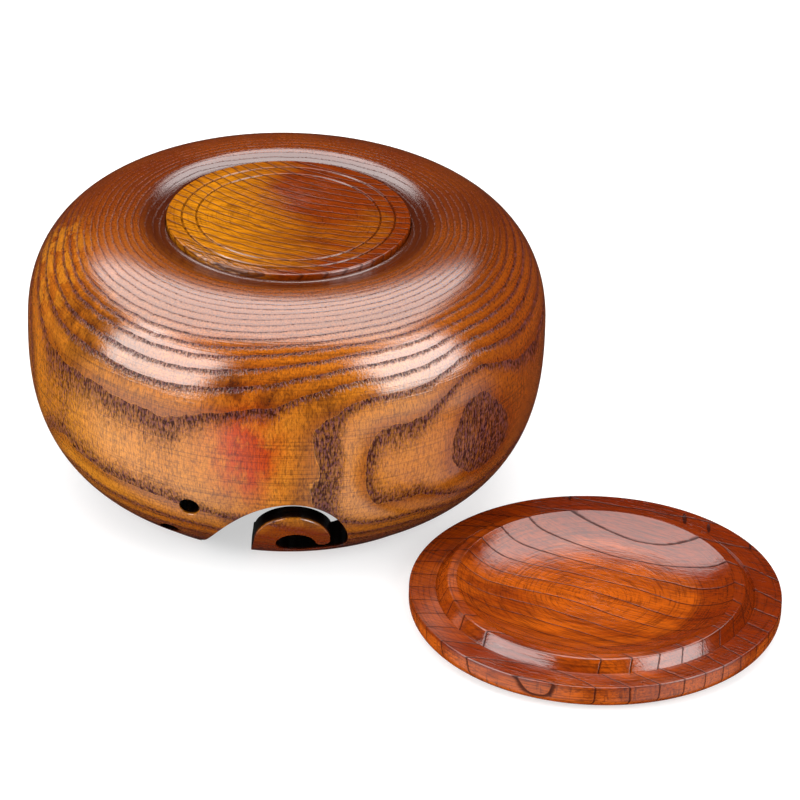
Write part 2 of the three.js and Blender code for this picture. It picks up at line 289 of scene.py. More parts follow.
class BowlShape:
    """The bowl's profile, worked out from its sizes."""

    def __init__(self, sizes):
        self.sizes = sizes
        self.rim_radius = sizes.bore_radius + sizes.rim_width
        self.dome_radius = sizes.foot_radius + sizes.gutter_width
        self.dome_z = sizes.height - sizes.dome_drop
        self.floor_z = sizes.height - sizes.floor_thickness
        self.inner_belly = sizes.belly_radius - sizes.belly_wall
        self.recess_radius = sizes.foot_radius + sizes.glue_gap
        self.recess_floor = sizes.height - sizes.disc_flange - sizes.glue_gap
        self.plug_hole = sizes.foot_radius - sizes.disc_ledge

    def lower_half_height(self, wide, low_radius, low_z):
        """Half height of the superellipse that passes through the low point."""
        s = self.sizes
        inward = ((low_radius - s.side_core) / (wide - s.side_core)) ** s.side_fullness
        return (s.belly_height - low_z) / (1 - inward) ** (1 / s.side_fullness)

    def side_radius(self, z, wide, low_radius, low_z, top_z):
        """Radius of the outer or the inner side at a height."""
        s = self.sizes
        if z < s.belly_height:
            z = max(z, low_z)
            core = s.side_core
            fullness = s.side_fullness
            half_height = self.lower_half_height(wide, low_radius, low_z)
        else:
            core = self.dome_radius
            fullness = s.shoulder_fullness
            half_height = top_z - s.belly_height
        share = min(abs(z - s.belly_height) / half_height, 1)
        return core + (wide - core) * (1 - share ** fullness) ** (1 / fullness)

    def outer_radius(self, z):
        s = self.sizes
        return self.side_radius(z, s.belly_radius, self.rim_radius, s.rim_round, self.dome_z)

    def inner_radius(self, z):
        s = self.sizes
        return self.side_radius(z, self.inner_belly, s.bore_radius, s.bore_land, self.floor_z)

    def lower_side(self, wide, low_radius, low_z, steps):
        s = self.sizes
        half_height = self.lower_half_height(wide, low_radius, low_z)
        share = (low_radius - s.side_core) / (wide - s.side_core)
        start = -math.acos(share ** (s.side_fullness / 2))
        return superellipse(
            (s.side_core, s.belly_height), (wide - s.side_core, half_height),
            s.side_fullness, start, 0, steps,
        )

    def upper_side(self, wide, top_z, steps):
        s = self.sizes
        return superellipse(
            (self.dome_radius, s.belly_height), (wide - self.dome_radius, top_z - s.belly_height),
            s.shoulder_fullness, 0, math.pi / 2, steps,
        )

    def profile(self):
        """The closed section of the body, anticlockwise with the radius to the right."""
        s = self.sizes
        gutter_z = s.height - s.gutter_depth
        lip_z = s.height - s.disc_stand
        gutter_radius = self.recess_radius + s.gutter_width / 6
        outer_side = self.lower_side(s.belly_radius, self.rim_radius, s.rim_round, 34)
        shoulder = self.upper_side(s.belly_radius, self.dome_z, 34)
        inner_shoulder = self.upper_side(self.inner_belly, self.floor_z, 22)
        inner_side = self.lower_side(self.inner_belly, s.bore_radius, s.bore_land, 22)
        dome_edge = (self.dome_radius, self.dome_z)
        gutter = (gutter_radius, gutter_z)
        lip = (self.recess_radius, lip_z)
        recess_corner = (self.recess_radius, self.recess_floor)
        ledge = (self.plug_hole, self.recess_floor)
        floor_edge = (self.plug_hole, self.floor_z)
        bore_foot = (s.bore_radius, 0)
        rim_edge = (self.rim_radius, 0)
        return [
            *rounded_corner((s.bore_radius, s.bore_land), bore_foot, rim_edge, s.rim_round),
            *rounded_corner(bore_foot, rim_edge, outer_side[1], s.rim_round * 0.8),
            *outer_side[1:],
            *shoulder[1:-1],
            *ease(dome_edge, gutter, 12),
            *ease(gutter, (lip[0] + s.arris, lip[1]), 5)[1:],
            lip,
            recess_corner,
            ledge,
            floor_edge,
            *reversed(inner_shoulder),
            *list(reversed(inner_side))[1:],
        ]


# ---- Mesh helpers --------------------------------------------------------------------------

def spun(profile, centre, turns, closed):
    """A mesh turned about the upright axis through centre, outside out."""
    mesh = bmesh.new()
    points = [mesh.verts.new((centre.x + radius, centre.y, z)) for radius, z in profile]
    lines = [mesh.edges.new(pair) for pair in zip(points, points[1:])]
    if closed:
        lines.append(mesh.edges.new((points[-1], points[0])))
    bmesh.ops.spin(
        mesh, geom=points + lines, cent=(centre.x, centre.y, 0), axis=(0, 0, 1),
        angle=math.tau, steps=turns, use_merge=True,
    )
    bmesh.ops.remove_doubles(mesh, verts=mesh.verts, dist=MERGE_DISTANCE)
    bmesh.ops.recalc_face_normals(mesh, faces=mesh.faces)
    return mesh


def to_object(mesh, name):
    data = bpy.data.meshes.new(name)
    mesh.to_mesh(data)
    mesh.free()
    piece = bpy.data.objects.new(name, data)
    bpy.context.scene.collection.objects.link(piece)
    return piece


def smooth(piece, sharp_angle=math.radians(38)):
    """Smooth shading with crisp arrises, and normals led by the large faces."""
    piece.data.shade_smooth()
    piece.data.set_sharp_from_angle(angle=sharp_angle)
    weighted = piece.modifiers.new("even shading", "WEIGHTED_NORMAL")
    weighted.keep_sharp = True
    weighted.weight = 80


def apply_modifiers(piece):
    bpy.context.view_layer.update()
    graph = bpy.context.evaluated_depsgraph_get()
    data = bpy.data.meshes.new_from_object(piece.evaluated_get(graph))
    piece.modifiers.clear()
    piece.data = data


def finish_piece(piece, node, body, material):
    piece.data.materials.clear()
    piece.data.materials.append(material)
    smooth(piece)
    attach(piece, body)
    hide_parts(node)


# ---- Sawn slot and drilled holes -----------------------------------------------------------

def slot_outline(slot):
    """The slot seen from the front: in at the left, over the tongue and into the yarn hole."""
    channel_radius = slot.tongue_radius + slot.channel_width
    scroll = Vector((slot.scroll_x, slot.scroll_z))
    tip = Vector((slot.scroll_x + slot.tongue_radius - slot.tip_radius, slot.tip_z))
    hole = Vector((slot.hole_x, slot.hole_z))
    end = Vector((
        slot.scroll_x + channel_radius - slot.channel_end_round,
        slot.channel_floor + slot.channel_end_round,
    ))
    touch = math.asin((tip.y - hole.y) / slot.hole_radius)
    below = -2 * MM
    top = scroll + Vector((0, channel_radius))
    flank = [
        top,
        top - Vector((slot.entry_reach, 0)),
        Vector((slot.flank_x, slot.flank_z)),
        Vector((slot.entry_left, below)),
    ]
    bend = []
    for i in range(1, 41):
        t = i / 40
        weights = ((1 - t) ** 3, 3 * t * (1 - t) ** 2, 3 * t * t * (1 - t), t ** 3)
        bend.append(tuple(sum((p * w for p, w in zip(flank, weights)), Vector((0, 0)))))
    return [
        (slot.entry_right, below),
        *arc(scroll, slot.tongue_radius, math.pi, 0, 44),
        *arc(tip, slot.tip_radius, 0, -math.pi, 16),
        *arc(hole, slot.hole_radius, touch, 1.5 * math.pi, 44)[1:],
        *arc(end, slot.channel_end_round, -math.pi / 2, 0, 14),
        *arc(scroll, channel_radius, 0, math.pi / 2, 32)[1:],
        *bend,
    ]


def spaced(outline, spacing):
    """The closed outline with points at most this far apart."""
    points = []
    for start, end in zip(outline, outline[1:] + outline[:1]):
        start = Vector(start)
        way = Vector(end) - start
        if way.length < MERGE_DISTANCE:
            continue
        pieces = max(1, math.ceil(way.length / spacing))
        points += [start + way * i / pieces for i in range(pieces)]
    return points


def outward_normals(points):
    normals = []
    for before, after in zip(points[-1:] + points[:-1], points[1:] + points[:1]):
        way = (after - before).normalized()
        normals.append(Vector((way.y, -way.x)))
    area = sum(a.x * b.y - b.x * a.y for a, b in zip(points, points[1:] + points[:1]))
    return normals if area > 0 else [-normal for normal in normals]


def router_steps(radius):
    """(offset into the wood, depth below the face) of a rounding cutter, deepest first."""
    steps = [(0.0, 3.2 * radius), (0.0, radius)]
    for degrees in (25, 48, 66):
        angle = math.radians(degrees)
        steps.append((radius * (1 - math.cos(angle)), radius * (1 - math.sin(angle))))
    steps.append((radius * 1.05, -radius * 0.55))
    return steps


def front_y(radius, x):
    return -math.sqrt(max(radius * radius - x * x, 0))


def routed_cutter(outline, shape, centre, edge_round, inner_end):
    """A cutter from the hollow to the front that also rounds the edges on both faces."""
    points = spaced(outline, CUTTER_SPACING)
    normals = outward_normals(points)
    outer_end = -shape.sizes.belly_radius - 3 * MM
    steps = router_steps(edge_round)
    mesh = bmesh.new()

    def ring(offset, place):
        verts = []
        for point, normal in zip(points, normals):
            x, z = point + normal * offset
            verts.append(mesh.verts.new((centre.x + x, centre.y + place(x, z), z)))
        return [mesh.edges.new(pair) for pair in zip(verts, verts[1:] + verts[:1])]

    rings = [ring(steps[-1][0], lambda x, z: inner_end)]
    for offset, depth in reversed(steps):
        rings.append(ring(offset, lambda x, z, d=depth: front_y(shape.inner_radius(z), x) - d))
    for offset, depth in steps:
        rings.append(ring(offset, lambda x, z, d=depth: front_y(shape.outer_radius(z), x) + d))
    rings.append(ring(steps[-1][0], lambda x, z: outer_end))
    for near, far in zip(rings, rings[1:]):
        bmesh.ops.bridge_loops(mesh, edges=near + far)
    for end_ring in (rings[0], rings[-1]):
        bmesh.ops.edgeloop_fill(mesh, edges=end_ring)
    bmesh.ops.recalc_face_normals(mesh, faces=mesh.faces)
    return to_object(mesh, "cutter")


def drilled_outline(x, z, radius):
    return arc((x, z), radius, 0, math.tau, 48)[:-1]


def cut(piece, cutters):
    """Saw and drill the piece with the cutters, which are then thrown away."""
    for cutter in cutters:
        saw = piece.modifiers.new("saw", "BOOLEAN")
        saw.operation = "DIFFERENCE"
        saw.solver = "EXACT"
        saw.object = cutter
    apply_modifiers(piece)
    for cutter in cutters:
        data = cutter.data
        bpy.data.objects.remove(cutter)
        bpy.data.meshes.remove(data)
    mesh = bmesh.new()
    mesh.from_mesh(piece.data)
    bmesh.ops.dissolve_degenerate(mesh, edges=mesh.edges, dist=MERGE_DISTANCE)
    mesh.to_mesh(piece.data)
    mesh.free()


# ---- Material helpers ----------------------------------------------------------------------

class Bench:
    """Builds one wood's nodes. Positions are in millimetres from the piece's own axis."""

    def __init__(self, name, centre):
        self.material = bpy.data.materials.new(name)
        self.material.use_nodes = True
        self.tree = self.material.node_tree
        self.shader = self.tree.nodes["Principled BSDF"]
        place = self.node("ShaderNodeTexCoord").outputs["Object"]
        mapping = self.node("ShaderNodeMapping")
        mapping.inputs["Scale"].default_value = (1 / MM, 1 / MM, 1 / MM)
        mapping.inputs["Location"].default_value = tuple(-centre / MM)
        self.link(place, mapping.inputs["Vector"])
        self.position = mapping.outputs["Vector"]
        parts = self.node("ShaderNodeSeparateXYZ")
        self.link(self.position, parts.inputs[0])
        self.x, self.y, self.z = parts.outputs
        self.flat = self.vector("MULTIPLY", self.position, (1, 1, 0))
        self.radius = self.vector("LENGTH", self.flat)

    def node(self, kind, **settings):
        made = self.tree.nodes.new(kind)
        for key, value in settings.items():
            setattr(made, key, value)
        return made

    def link(self, source, target):
        if isinstance(source, bpy.types.NodeSocket):
            self.tree.links.new(source, target)
        else:
            target.default_value = source

    def math(self, operation, first, second=0.0, third=0.0, clamp=False):
        made = self.node("ShaderNodeMath", operation=operation, use_clamp=clamp)
        for source, target in zip((first, second, third), made.inputs):
            self.link(source, target)
        return made.outputs[0]

    def plus(self, first, second):
        return self.math("ADD", first, second)

    def minus(self, first, second):
        return self.math("SUBTRACT", first, second)

    def times(self, first, second, clamp=False):
        return self.math("MULTIPLY", first, second, clamp=clamp)

    def scaled(self, value, factor, start):
        """start + value * factor"""
        return self.math("MULTIPLY_ADD", value, factor, start)

    def vector(self, operation, first, second=(0, 0, 0)):
        made = self.node("ShaderNodeVectorMath", operation=operation)
        self.link(first, made.inputs[0])
        self.link(second, made.inputs[1])
        scalar = operation in {"LENGTH", "DOT_PRODUCT", "DISTANCE"}
        return made.outputs["Value" if scalar else "Vector"]

    def combine(self, x, y, z):
        made = self.node("ShaderNodeCombineXYZ")
        for source, target in zip((x, y, z), made.inputs):
            self.link(source, target)
        return made.outputs[0]

    def rise(self, value, low, high, to_low=0.0, to_high=1.0):
        """A smooth step from to_low at low to to_high at high."""
        made = self.node("ShaderNodeMapRange", interpolation_type="SMOOTHSTEP")
        for source, target in zip((value, low, high, to_low, to_high), made.inputs):
            self.link(source, target)
        return made.outputs[0]

    def mix(self, share, first, second, blend="MIX"):
        made = self.node("ShaderNodeMix", data_type="RGBA", blend_type=blend)
        made.clamp_factor = True
        for source, target in zip((share, first, second), (0, 6, 7)):
            socket = made.inputs[target]
            if not isinstance(source, (bpy.types.NodeSocket, float, int)):
                source = (*source[:3], 1)
            self.link(source, socket)
        return made.outputs[2]

    def noise(self, stretch, detail=2.0, roughness=0.5, shift=(0, 0, 0), place=None):
        """Smooth noise with features of about 1 / stretch millimetres on each axis."""
        where = self.vector("MULTIPLY", place or self.position, stretch)
        if any(shift):
            where = self.vector("ADD", where, shift)
        made = self.node("ShaderNodeTexNoise", noise_dimensions="3D")
        self.link(where, made.inputs["Vector"])
        made.inputs["Scale"].default_value = 1.0
        made.inputs["Detail"].default_value = detail
        made.inputs["Roughness"].default_value = roughness
        return made.outputs["Fac"]

    def sway(self, stretch, detail):
        """Smooth noise about zero."""
        return self.minus(self.noise(stretch, detail), 0.5)

    def turning_marks(self, fine, coarse):
        """Noise drawn out round the axis: fine across the marks, coarse along them."""
        angle = self.math("ARCTAN2", self.y, self.x)
        place = self.combine(
            self.times(self.radius, fine), self.times(self.z, fine), self.times(angle, coarse),
        )
        return self.noise((1, 1, 1), 3.0, 0.7, place=place)

    def hump(self, centre, width, squash=(1, 1, 1)):
        """A round hump of height 1 at centre, which has fallen to 1/e at width."""
        away = self.vector("MULTIPLY", self.vector("SUBTRACT", self.position, centre), squash)
        square = self.vector("DOT_PRODUCT", away, away)
        return self.math("EXPONENT", self.times(square, -1 / (width * width)))

    def finish(self, colour, roughness, height, coat, finish):
        """Joins the wood to the shader; height is in millimetres, and the lacquer follows it."""
        bump = self.node("ShaderNodeBump")
        bump.inputs["Strength"].default_value = 1.0
        bump.inputs["Distance"].default_value = MM
        self.link(height, bump.inputs["Height"])
        shader = self.shader.inputs
        self.link(colour, shader["Base Color"])
        self.link(roughness, shader["Roughness"])
        self.link(bump.outputs["Normal"], shader["Normal"])
        self.link(bump.outputs["Normal"], shader["Coat Normal"])
        self.link(coat, shader["Coat Weight"])
        shader["IOR"].default_value = WOOD_IOR
        shader["Specular IOR Level"].default_value = 0.0
        shader["Coat Roughness"].default_value = finish.coat_roughness
        shader["Coat IOR"].default_value = LACQUER_IOR
        return self.material


WOOD_IOR = 1.45
LACQUER_IOR = 1.9
BELLY = 77                      # millimetres from the axis, just inside the belly

# Swellings of the trunk that bend the growth lines of the body: degrees right of the front,
# height, how far the lines are pushed in, and how wide the swelling is. These rows, the pith,
# the taper and the growth start are rounded results of a least-squares fit, not chosen by hand.
SWELLINGS = (
    (-69, 28, -2.6, 24),
    (-55, 36, -2.6, 30),
    (-24, 52, -2.6, 30),
    (1, 38, -2.6, 13),
    (13, 39, -2.6, 9),
    (16, 31, 2.6, 30),
    (47, 52, 2.6, 14),
    (53, 15, 2.6, 19),
)
PITH = (-0.3, -3.5)             # millimetres from the bowl's axis
TRUNK_TAPER = 0.077
TAPER_HEIGHT = 50.0             # the height at which the taper moves nothing
GROWTH_START = 63.05
OUTER_GROWTH = 2.6              # spacing of the lines on the side
INNER_GROWTH = 2.0              # and nearer to the pith
KNOT_LINE = 78.7                # beyond this line the wood is all dark pores

# Dark water stains under the shoulder and by the slot: degrees right of the front, height,
# width and strength.
STAINS = (
    (-53, 74, 14, 0.6),
    (-38, 76, 12, 0.4),
    (-11, 68, 7, 0.7),
    (-1, 63, 6, 0.65),
    (9, 61, 5, 0.6),
    (8, 27, 6, 0.5),
    (9, 18, 8, 0.5),
    (-12, 20, 9, 0.4),
)


def on_belly(degrees, height):
    """A point on the belly, in millimetres from the bowl's axis."""
    angle = math.radians(degrees)
    return (BELLY * math.sin(angle), -BELLY * math.cos(angle), height)


def growth_phase(bench, field, start, outer, inner):
    """Distance past the last growth line and the spacing there, which changes at start."""
    past = bench.minus(field, start)
    beyond = bench.math("GREATER_THAN", past, 0.0)
    spacing = bench.scaled(beyond, outer - inner, inner)
    turns = bench.math("DIVIDE", past, spacing)
    part = bench.minus(turns, bench.math("FLOOR", turns))
    return bench.times(part, spacing), spacing


def side_depth(bench, sizes):
    """How deep a point lies below the bowl's outer side."""
    shape = BowlShape(sizes)
    belly = sizes.belly_height / MM
    rise = bench.minus(bench.z, belly)
    above = bench.math("GREATER_THAN", rise, 0.0)
    low_half = shape.lower_half_height(sizes.belly_radius, shape.rim_radius, sizes.rim_round) / MM
    high_half = (shape.dome_z - sizes.belly_height) / MM
    radii = []
    for half, fullness, core in (
        (low_half, sizes.side_fullness, sizes.side_core / MM),
        (high_half, sizes.shoulder_fullness, shape.dome_radius / MM),
    ):
        share = bench.math("DIVIDE", bench.math("ABSOLUTE", rise), half)
        share = bench.math("MINIMUM", share, 1.0)
        left = bench.minus(1.0, bench.math("POWER", share, fullness))
        reach = bench.math("POWER", left, 1 / fullness)
        radii.append(bench.scaled(reach, sizes.belly_radius / MM - core, core))
    low, high = radii
    outer = bench.scaled(above, bench.minus(high, low), low)
    return bench.minus(outer, bench.radius)


def trunk_field(bench):
    """Growth field: distance from the pith, bent by the trunk's taper and swellings."""
    field = bench.vector("LENGTH", bench.vector("SUBTRACT", bench.flat, (*PITH, 0)))
    field = bench.plus(field, bench.times(bench.minus(bench.z, TAPER_HEIGHT), -TRUNK_TAPER))
    for degrees, height, push, width in SWELLINGS:
        swelling = bench.hump(on_belly(degrees, height), width, (1, 1, 0.5))
        field = bench.scaled(swelling, push, field)
    back = bench.rise(bench.y, -5.0, 35.0, 0.0, 9.0)
    field = bench.scaled(bench.sway((0.022, 0.022, 0.016), 1.0), back, field)
    return bench.scaled(bench.sway((0.16, 0.16, 0.035), 2.0), 0.7, field)


def dark_bands(bench, field, past, fibre, pores):
    """How dark the open-pored bands and the knot are; a band is ragged on its outer side."""
    fray = bench.noise((1.9, 1.9, 0.75), 3.0, 0.65, (1, 5, 9))
    ragged = bench.scaled(fray, 1.5, -0.75)
    dome = bench.rise(bench.z, 75.0, 80.5)
    inner_edge = bench.scaled(dome, -0.4, 0.3)
    outer_edge = bench.scaled(dome, -0.6, 1.15)
    fade = bench.rise(bench.plus(past, ragged), inner_edge, outer_edge, 1.0, 0.0)
    band = bench.times(bench.rise(past, 0.0, 0.03), fade)
    knot = bench.rise(bench.scaled(ragged, 0.35, field), KNOT_LINE, KNOT_LINE + 0.4)
    beside_slot = bench.rise(bench.hump(on_belly(50, 34), 30), 0.3, 0.45)
    streaks = bench.rise(fibre, 0.34, 0.54, 0.5, 1.15)
    knot = bench.times(bench.times(knot, beside_slot), streaks)
    return bench.times(bench.math("MAXIMUM", band, knot), bench.scaled(pores, 0.36, 0.62))


def heartwood(bench, finish):
    """Colour zones: gold on the front, red-brown on the flanks, dark towards the rim."""
    left_gold = bench.hump(on_belly(-44, 36), 40, (1, 1, 1.1))
    front_gold = bench.hump(on_belly(-4, 38), 17, (1, 1, 0.8))
    loop_gold = bench.hump(on_belly(27, 38), 30, (1, 1, 0.8))
    gold = bench.scaled(loop_gold, 0.9, bench.plus(left_gold, front_gold))
    cloud = bench.noise((0.05, 0.05, 0.03), 3.0, 0.55, (3, 9, 4))
    gold = bench.times(gold, bench.scaled(cloud, 1.3, 0.35), clamp=True)
    colour = bench.mix(gold, finish.amber, finish.gold)
    right = bench.rise(bench.x, 10.0, 80.0, 0.0, 0.6)
    rim = bench.rise(bench.z, 24.0, 4.0, 0.0, 0.9)
    flank = bench.rise(bench.y, -26.0, 12.0, 0.0, 0.75)
    red = bench.math("MAXIMUM", bench.math("MAXIMUM", right, rim), flank)
    red = bench.times(red, bench.scaled(cloud, 0.9, 0.5), clamp=True)
    colour = bench.mix(red, colour, finish.russet)
    return bench.mix(bench.rise(bench.z, 16.0, 1.0, 0.0, 0.6), colour, finish.umber)


def stained(bench, finish, colour):
    """Golden sapwood high on the left, the red stain and the dark water stains."""
    flash = bench.rise(bench.hump((-66, -14, 70), 15, (1.3, 0.6, 1)), 0.2, 0.7)
    torn = bench.noise((0.3, 0.12, 0.2), 4.0, 0.7, (6, 2, 3))
    flash = bench.times(flash, bench.rise(torn, 0.46, 0.54, 0.0, 0.6))
    colour = bench.mix(flash, colour, finish.gold)
    stain = bench.hump(on_belly(-7, 46), 10, (1, 1, 0.6))
    blotch = bench.noise((0.2, 0.2, 0.12), 3.0, 0.6, (5, 5, 5))
    stain = bench.times(stain, bench.rise(blotch, 0.25, 0.6, 0.5, 1.4), clamp=True)
    colour = bench.mix(stain, colour, finish.flame)
    patchy = bench.rise(blotch, 0.3, 0.65, 0.2, 1.5)
    for degrees, height, width, strength in STAINS:
        water = bench.times(bench.hump(on_belly(degrees, height), width, (1, 1, 0.8)), patchy)
        colour = bench.mix(bench.times(water, strength, clamp=True), colour, finish.umber)
    return colour


def shaded(bench, finish, sizes, colour):
    """Painted shade on the dome's front and in its gutter, then a darker tongue and painted shade
    in the hollow.
    """
    # Painted shade: the dome's front, under its highlight, is darkened, less so on the left and at
    # the back.
    top = bench.rise(bench.z, 74.0, 81.0, 0.0, 0.45)
    top = bench.times(top, bench.rise(bench.x, -66.0, -30.0, 0.3, 1.0))
    top = bench.times(top, bench.rise(bench.y, 10.0, 45.0, 1.0, 0.2))
    colour = bench.mix(top, colour, finish.umber)
    # Painted shade: the gutter round the disc is darkened.
    in_gutter = bench.rise(bench.radius, 46.5, 40.5, 0.0, 0.8)
    gutter = bench.times(in_gutter, bench.rise(bench.z, 79.0, 80.0))
    colour = bench.mix(gutter, colour, finish.umber)
    tongue = bench.rise(bench.hump((4, -62, 9), 14, (1, 0.6, 1)), 0.3, 0.55, 0.0, 0.72)
    colour = bench.mix(tongue, colour, finish.russet)
    # Painted shade: below the dome, everything more than a millimetre or so under the outer side
    # (the hollow, the slot's walls and the holes) goes nearly black.
    below_dome = bench.rise(bench.z, 74.9, 79.0, 1.0, 0.0)
    inside = bench.times(bench.rise(side_depth(bench, sizes), 0.25, 1.6), below_dome)
    return bench.mix(inside, colour, finish.inside)


def body_wood(finish, sizes, centre):
    """End-grain wood: growth lines round the axis, seen as rings on the dome."""
    bench = Bench("body wood", centre)
    field = trunk_field(bench)
    past, spacing = growth_phase(bench, field, GROWTH_START, OUTER_GROWTH, INNER_GROWTH)
    fibre = bench.noise((2.2, 2.2, 0.11), 2.0, 0.6)
    pores = bench.rise(bench.noise((1.9, 1.9, 0.45), 1.0, 0.5, (7, 3, 1)), 0.4, 0.6)
    darkness = dark_bands(bench, field, past, fibre, pores)

    colour = heartwood(bench, finish)
    latewood = bench.rise(bench.math("DIVIDE", past, spacing), 0.62, 1.0, 0.0, 0.55)
    colour = stained(bench, finish, bench.mix(latewood, colour, finish.russet))

    # Upright fibres, turning marks and the dark bands, whose purplish pores are speckled with
    # painted glints of the lacquer.
    colour = bench.mix(bench.rise(fibre, 0.4, 0.7, 0.0, 0.3), colour, finish.pore)
    grit = bench.noise((1.9, 1.9, 0.6), 3.0, 0.7, (4, 4, 1))
    colour = bench.mix(bench.rise(grit, 0.44, 0.64, 0.0, 0.5), colour, finish.pore)
    marks = bench.turning_marks(1.7, 1.6)
    colour = bench.mix(bench.rise(marks, 0.48, 0.7, 0.0, 0.45), colour, finish.pore)
    # Painted glints: lighter purplish specks in the dark bands' pores.
    glint_speck = bench.rise(bench.noise((1.6, 1.6, 0.8), 1.0, 0.5, (2, 6, 8)), 0.46, 0.62, 0.0, 0.85)
    colour = bench.mix(darkness, colour, bench.mix(glint_speck, finish.pore, finish.bloom_and_glint))
    colour = shaded(bench, finish, sizes, colour)

    # The pores are open and the turning marks can be felt.
    height = bench.scaled(bench.times(darkness, pores), -0.06, bench.times(marks, 0.05))
    height = bench.scaled(fibre, 0.03, height)
    roughness = bench.scaled(darkness, 0.25, finish.wood_roughness)
    coat = bench.scaled(darkness, -0.8, finish.coat)
    return bench.finish(colour, roughness, height, coat, finish)


DISC_PITH = (35, 81)            # millimetres from the disc's axis
DISC_LEAN = 0.4                 # how fast the layers lean with the height
LID_BEND = 18.0                 # the lid's lines bend this far left of its axis,
LID_BEND_SOFTNESS = 15.0        # over about this distance
LID_FLANGE_FACE = 8.0
TORN_GRAIN = (-18, -27, 83)     # on the left of the disc's front edge


def along_board(bench, degrees, fine, coarse, shift=(0, 0, 0), detail=2.0):
    """Noise drawn out along a board's fibres, which run degrees left of the x axis."""
    angle = math.radians(degrees)
    along = bench.vector("DOT_PRODUCT", bench.flat, (math.cos(angle), math.sin(angle), 0))
    across = bench.vector("DOT_PRODUCT", bench.flat, (-math.sin(angle), math.cos(angle), 0))
    place = bench.combine(along, across, bench.z)
    return bench.noise((coarse, fine, fine), detail, 0.6, shift, place)


def disc_wood(finish, sizes, foot_radius, centre):
    """Side-grain wood of the disc: fine curved lines, golden on the left."""
    bench = Bench("disc wood", centre)
    field = bench.vector("LENGTH", bench.vector("SUBTRACT", bench.flat, (*DISC_PITH, 0)))
    field = bench.scaled(bench.z, DISC_LEAN, field)
    wave = bench.sway((0.09, 0.09, 0.09), 2.0)
    field = bench.scaled(wave, 2.6, field)
    past = growth_phase(bench, field, 72.0, 3.4, 2.1)[0]
    fibre = along_board(bench, -24, 1.8, 0.16)
    shifted = bench.plus(past, bench.scaled(fibre, 0.5, -0.25))
    line = bench.times(bench.rise(past, 0.0, 0.15), bench.rise(shifted, 0.3, 0.95, 1.0, 0.0),
    )
    cloud = along_board(bench, -20, 0.12, 0.035, (4, 2, 7))
    red = bench.rise(bench.x, -26.0, 14.0, 0.0, 0.8)
    patch = bench.hump((12, 17, 83), 11, (0.6, 1, 1))
    red = bench.plus(red, patch)
    edge = bench.rise(bench.radius, 29.0, 36.0, 0.0, 0.35)
    red = bench.plus(red, edge)
    red = bench.times(red, bench.scaled(cloud, 1.2, 0.4), clamp=True)
    colour = bench.mix(red, finish.disc_gold, finish.disc_red)
    colour = bench.mix(bench.rise(fibre, 0.38, 0.66, 0.0, 0.62), colour, finish.umber)
    marks = bench.turning_marks(1.8, 2.0)
    colour = bench.mix(bench.rise(marks, 0.48, 0.7, 0.0, 0.45), colour, finish.umber)
    colour = bench.mix(bench.times(line, 0.8), colour, finish.umber)
    # Painted shade: darker along the two scored lines.
    for inset in (sizes.outer_groove, sizes.inner_groove):
        groove_radius = (foot_radius - inset) / MM
        away = bench.math("ABSOLUTE", bench.minus(bench.radius, groove_radius))
        colour = bench.mix(bench.rise(away, 0.5, 0.15, 0.0, 0.5), colour, finish.umber)
    height = bench.scaled(line, -0.03, bench.times(marks, 0.05))
    height = bench.scaled(fibre, 0.03, height)

    # Torn grain on the left of the front edge.
    torn = bench.times(bench.hump(TORN_GRAIN, 13, (0.8, 1, 1)),
        bench.rise(bench.radius, 32.0, 33.2),
    )
    rags = along_board(bench, -50, 0.9, 0.22, (8, 1, 1), 3.0)
    height = bench.scaled(bench.times(torn, rags), 0.9, height)
    colour = bench.mix(
        bench.times(torn, bench.rise(rags, 0.45, 0.65, 0.0, 0.6), clamp=True),
        colour, finish.pore,
    )
    coat = bench.scaled(line, -0.4, finish.coat * 0.7)
    return bench.finish(colour, finish.wood_roughness, height, coat, finish)


# Small cracks in the lid's back edge: place and length, in millimetres.
CRACKS = (((27, 42, 8), 3.5), ((34, 37, 8), 3), ((-7, 53.5, 8), 2.5), ((46, 27, 8), 2))


